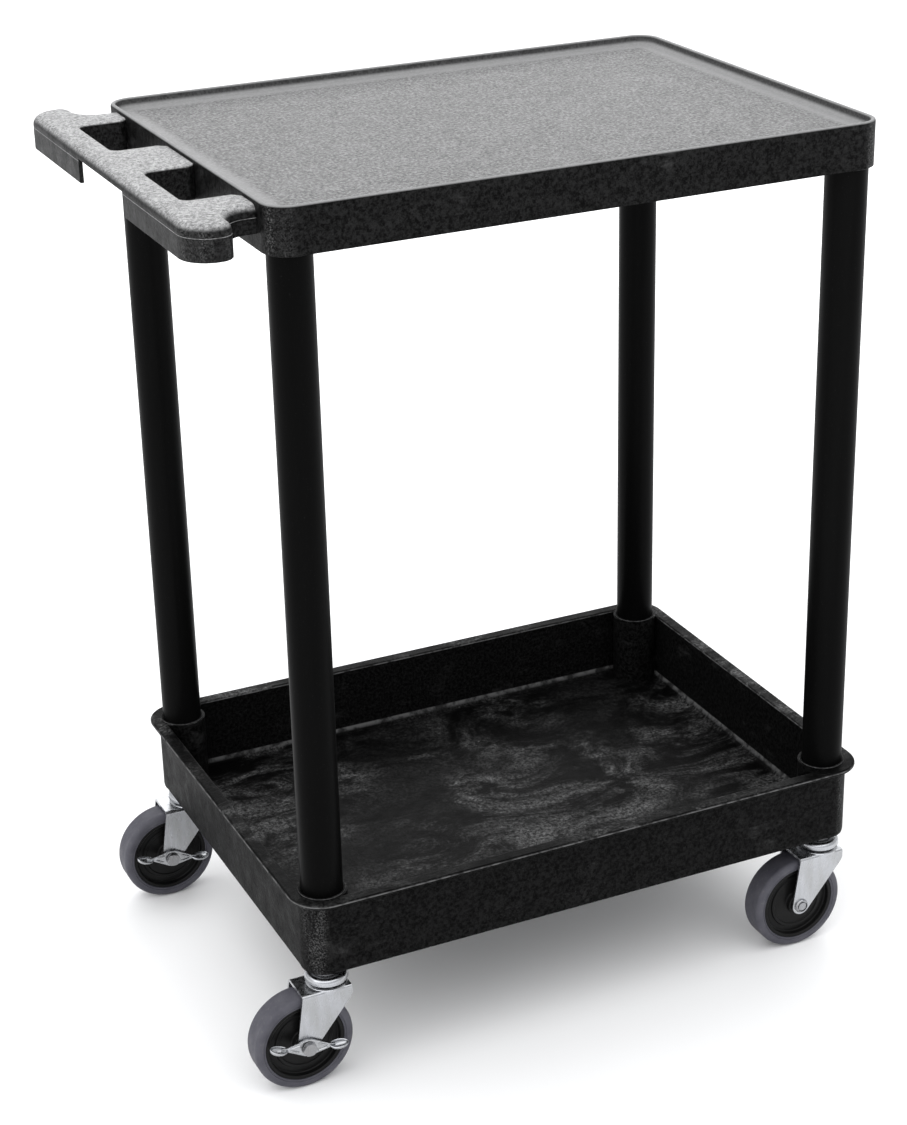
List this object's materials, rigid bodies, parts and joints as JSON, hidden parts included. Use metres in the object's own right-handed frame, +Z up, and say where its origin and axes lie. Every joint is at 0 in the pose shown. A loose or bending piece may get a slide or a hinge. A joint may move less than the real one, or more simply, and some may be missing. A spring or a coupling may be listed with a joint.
{
  "type": "rolling utility cart",
  "caption": "Rolling utility cart: flat lipped top shelf and deep lower tub on tube legs, push handle on one short side, swivel casters with side brake levers.",
  "frame": {"origin": "on the floor, under the middle of the whole cart's plan, handle included", "axes": "+X along the shelves away from the push handle, +Y across them, +Z up"},
  "size_m": [0.696, 0.47, 0.884],
  "materials": {
    "shelf_plastic": "black structural-foam plastic with a fine pebble and pale scuffs on the deck",
    "tub_plastic": "black structural-foam plastic with feathery flow marks",
    "handle_plastic": "black moulded plastic with a fine pebble",
    "leg_plastic": "smooth black tube with a soft vertical sheen",
    "inner_plastic": "grey moulded plastic",
    "zinc_plate": "bright zinc-plated pressed steel",
    "bright_steel": "zinc-plated steel",
    "bearing_steel": "polished steel",
    "hub_plastic": "black moulded wheel centre",
    "tyre_rubber": "grey non-marking rubber"
  },
  "bodies": {
    "cart": {"top_shelf": "shelf_plastic", "push_handle": "handle_plastic", "handle_screws": "bright_steel", "bottom_tub": "tub_plastic", "leg_front_left": "leg_plastic", "stem_socket_front_left": "inner_plastic", "stem_front_left": "bright_steel", "swivel_cup_front_left": "zinc_plate", "swivel_balls_front_left": "bearing_steel", "leg_back_left": "leg_plastic", "stem_socket_back_left": "inner_plastic", "stem_back_left": "bright_steel", "swivel_cup_back_left": "zinc_plate", "swivel_balls_back_left": "bearing_steel", "leg_front_right": "leg_plastic", "stem_socket_front_right": "inner_plastic", "stem_front_right": "bright_steel", "swivel_cup_front_right": "zinc_plate", "swivel_balls_front_right": "bearing_steel", "leg_back_right": "leg_plastic", "stem_socket_back_right": "inner_plastic", "stem_back_right": "bright_steel", "swivel_cup_back_right": "zinc_plate", "swivel_balls_back_right": "bearing_steel"},
    "caster_front_left": {"fork_front_left": "zinc_plate", "axle_bolt_front_left": "bright_steel", "axle_nut_front_left": "bright_steel", "axle_sleeve_front_left": "bright_steel"},
    "wheel_front_left": {"hub_front_left": "hub_plastic", "tyre_front_left": "tyre_rubber"},
    "brake_front_left": {"brake_cam_front_left": "bright_steel", "brake_lever_front_left": "zinc_plate"},
    "caster_back_left": {"fork_back_left": "zinc_plate", "axle_bolt_back_left": "bright_steel", "axle_nut_back_left": "bright_steel", "axle_sleeve_back_left": "bright_steel"},
    "wheel_back_left": {"hub_back_left": "hub_plastic", "tyre_back_left": "tyre_rubber"},
    "brake_back_left": {"brake_cam_back_left": "bright_steel", "brake_lever_back_left": "zinc_plate"},
    "caster_front_right": {"fork_front_right": "zinc_plate", "axle_bolt_front_right": "bright_steel", "axle_nut_front_right": "bright_steel", "axle_sleeve_front_right": "bright_steel"},
    "wheel_front_right": {"hub_front_right": "hub_plastic", "tyre_front_right": "tyre_rubber"},
    "caster_back_right": {"fork_back_right": "zinc_plate", "axle_bolt_back_right": "bright_steel", "axle_nut_back_right": "bright_steel", "axle_sleeve_back_right": "bright_steel"},
    "wheel_back_right": {"hub_back_right": "hub_plastic", "tyre_back_right": "tyre_rubber"}
  },
  "joints": [
    {"name": "swivel_front_left", "type": "hinge", "parent": "cart", "child": "caster_front_left", "pos_m": [-0.2465, -0.2, 0.114], "axis": [0, 0, 1], "continuous": true},
    {"name": "roll_front_left", "type": "hinge", "parent": "caster_front_left", "child": "wheel_front_left", "pos_m": [-0.2765, -0.2, 0.051], "axis": [0, 1, 0], "continuous": true},
    {"name": "brake_front_left", "type": "hinge", "parent": "caster_front_left", "child": "brake_front_left", "pos_m": [-0.2765, -0.2, 0.051], "axis": [0, -1, 0], "range_deg": [0, 20]},
    {"name": "swivel_back_left", "type": "hinge", "parent": "cart", "child": "caster_back_left", "pos_m": [-0.2465, 0.2, 0.114], "axis": [0, 0, 1], "continuous": true},
    {"name": "roll_back_left", "type": "hinge", "parent": "caster_back_left", "child": "wheel_back_left", "pos_m": [-0.2765, 0.2, 0.051], "axis": [0, 1, 0], "continuous": true},
    {"name": "brake_back_left", "type": "hinge", "parent": "caster_back_left", "child": "brake_back_left", "pos_m": [-0.2765, 0.2, 0.051], "axis": [0, -1, 0], "range_deg": [0, 20]},
    {"name": "swivel_front_right", "type": "hinge", "parent": "cart", "child": "caster_front_right", "pos_m": [0.3135, -0.2, 0.114], "axis": [0, 0, 1], "continuous": true},
    {"name": "roll_front_right", "type": "hinge", "parent": "caster_front_right", "child": "wheel_front_right", "pos_m": [0.2835, -0.2, 0.051], "axis": [0, 1, 0], "continuous": true},
    {"name": "swivel_back_right", "type": "hinge", "parent": "cart", "child": "caster_back_right", "pos_m": [0.3135, 0.2, 0.114], "axis": [0, 0, 1], "continuous": true},
    {"name": "roll_back_right", "type": "hinge", "parent": "caster_back_right", "child": "wheel_back_right", "pos_m": [0.2835, 0.2, 0.051], "axis": [0, 1, 0], "continuous": true}
  ]
}
